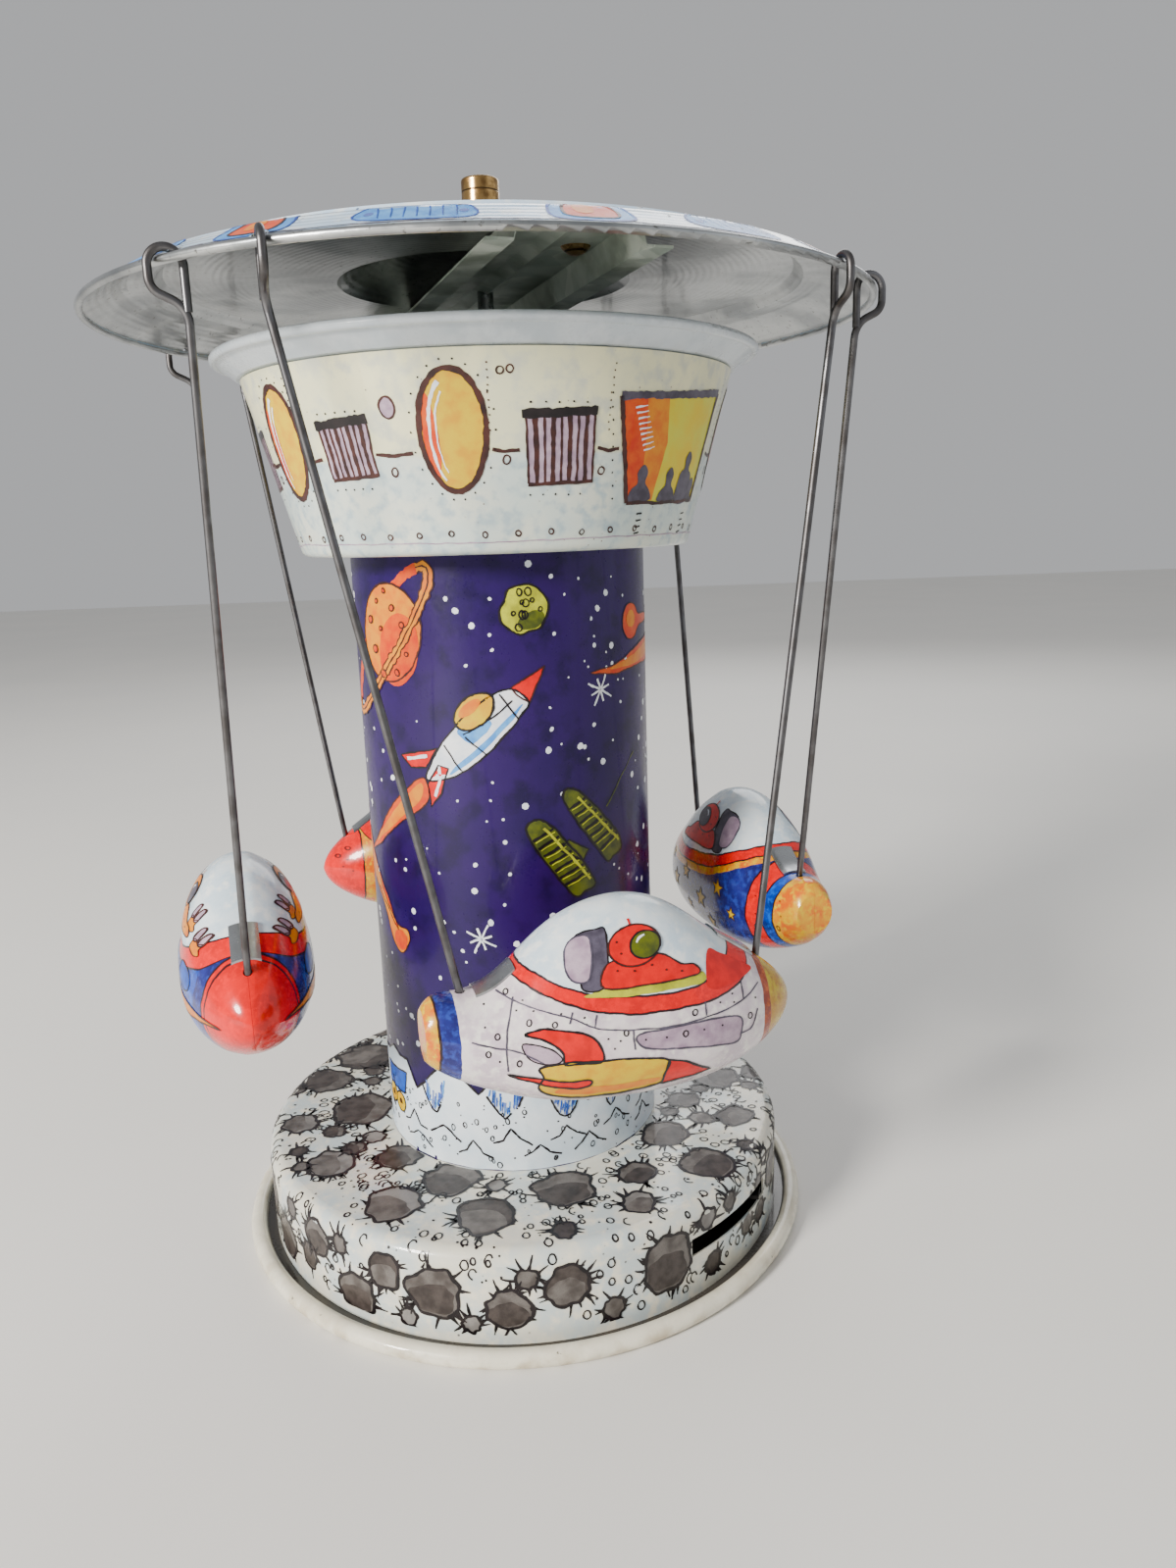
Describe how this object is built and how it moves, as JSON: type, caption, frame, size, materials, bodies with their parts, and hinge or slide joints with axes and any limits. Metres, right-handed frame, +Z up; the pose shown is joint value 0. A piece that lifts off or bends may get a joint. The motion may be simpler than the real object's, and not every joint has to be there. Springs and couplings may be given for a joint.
{
  "type": "wind-up tin carousel",
  "caption": "Free-standing wind-up tin carousel: a round clockwork base and printed column carry a dished canopy that turns, with rocket gondolas hanging on wires.",
  "frame": {"origin": "centre of the base's underside, on the spindle's axis", "axes": "+Z up along the spindle, -Y towards the front of the column's print"},
  "size_m": [0.19, 0.19, 0.2728],
  "materials": {
    "moon_litho": "glossy litho print of a cratered moon surface on tinplate",
    "cream_enamel": "glossy off-white enamel on tinplate",
    "space_litho": "glossy litho print of a starry sky on tinplate",
    "hull_litho": "glossy litho print of a panelled hull on tinplate",
    "grey_enamel": "glossy grey-white enamel on tinplate",
    "canopy_litho": "glossy pale blue litho print on top, bare tinplate below",
    "galvanised_steel": "galvanised sheet steel",
    "bright_steel": "drawn steel",
    "wire_steel": "dark oiled spring wire",
    "tinplate": "bare tinplate",
    "brass": "turned brass, lightly tarnished",
    "spring_steel": "blued spring steel",
    "black_steel": "blackened steel",
    "rocket_white_litho": "glossy litho print, white and mauve hull",
    "rocket_navy_litho": "glossy litho print, navy hull",
    "rocket_yellow_litho": "glossy litho print, yellow hull",
    "rocket_blue_litho": "glossy litho print, blue hull"
  },
  "bodies": {
    "stand": {"base_housing": "moon_litho", "base_plate": "cream_enamel", "column_tube": "space_litho", "footstep_bearing": "brass", "footstep_seat": "bright_steel", "front_motor_plate": "tinplate", "head_lid": "grey_enamel", "head_shell": "hull_litho", "lever_post": "bright_steel", "mainspring": "spring_steel", "motor_pillars": "bright_steel", "rear_motor_plate": "tinplate", "spindle_bush": "brass"},
    "carousel": {"canopy_disc": "canopy_litho", "cross_beam": "galvanised_steel", "beam_rivets": "brass", "hub_spacer": "brass", "hub_nut": "brass", "spindle": "bright_steel", "spindle_pinion": "brass"},
    "gondola_1": {"gondola_1_outer_shell": "rocket_white_litho", "gondola_1_inner_shell": "rocket_white_litho", "gondola_1_seam_clips": "tinplate", "gondola_1_tail_wire": "wire_steel", "gondola_1_nose_wire": "wire_steel"},
    "gondola_2": {"gondola_2_outer_shell": "rocket_navy_litho", "gondola_2_inner_shell": "rocket_navy_litho", "gondola_2_seam_clips": "tinplate", "gondola_2_tail_wire": "wire_steel", "gondola_2_nose_wire": "wire_steel"},
    "gondola_3": {"gondola_3_outer_shell": "rocket_yellow_litho", "gondola_3_inner_shell": "rocket_yellow_litho", "gondola_3_seam_clips": "tinplate", "gondola_3_tail_wire": "wire_steel", "gondola_3_nose_wire": "wire_steel"},
    "gondola_4": {"gondola_4_outer_shell": "rocket_blue_litho", "gondola_4_inner_shell": "rocket_blue_litho", "gondola_4_seam_clips": "tinplate", "gondola_4_tail_wire": "wire_steel", "gondola_4_nose_wire": "wire_steel"},
    "second_arbor": {"crown_wheel": "brass", "second_arbor": "bright_steel", "second_pinion": "brass"},
    "winding_arbor": {"winding_arbor": "bright_steel", "great_wheel": "brass"},
    "brake_lever": {"brake_lever": "black_steel"}
  },
  "joints": [
    {"name": "carousel_spin", "type": "hinge", "parent": "stand", "child": "carousel", "pos_m": [0, 0, 0.1], "axis": [0, 0, 1], "continuous": true},
    {"name": "gondola_1_swing", "type": "hinge", "parent": "carousel", "child": "gondola_1", "pos_m": [0.01727, -0.07196, 0.239], "axis": [-0.9724, -0.2334, 0], "range_deg": [-5, 40]},
    {"name": "gondola_2_swing", "type": "hinge", "parent": "carousel", "child": "gondola_2", "pos_m": [0.07196, 0.01727, 0.239], "axis": [0.2334, -0.9724, 0], "range_deg": [-5, 40]},
    {"name": "gondola_3_swing", "type": "hinge", "parent": "carousel", "child": "gondola_3", "pos_m": [-0.01727, 0.07196, 0.239], "axis": [0.9724, 0.2334, 0], "range_deg": [-5, 40]},
    {"name": "gondola_4_swing", "type": "hinge", "parent": "carousel", "child": "gondola_4", "pos_m": [-0.07196, -0.01727, 0.239], "axis": [-0.2334, 0.9724, 0], "range_deg": [-5, 40]},
    {"name": "second_arbor_spin", "type": "hinge", "parent": "stand", "child": "second_arbor", "pos_m": [0.01485, -0.00209, 0.0132], "axis": [0.9903, -0.1392, 0], "continuous": true},
    {"name": "winding_arbor_spin", "type": "hinge", "parent": "stand", "child": "winding_arbor", "pos_m": [0.0131, -0.01456, 0.0132], "axis": [0.9903, -0.1392, 0], "continuous": true},
    {"name": "brake_lever_swing", "type": "hinge", "parent": "stand", "child": "brake_lever", "pos_m": [0.03, -0.03, 0.0158], "axis": [0, 0, 1], "range_deg": [-44, 0]}
  ],
  "couplings": [
    {"joint": "second_arbor_spin", "follows": "carousel_spin", "ratio": -0.41667},
    {"joint": "winding_arbor_spin", "follows": "carousel_spin", "ratio": 0.13021}
  ]
}
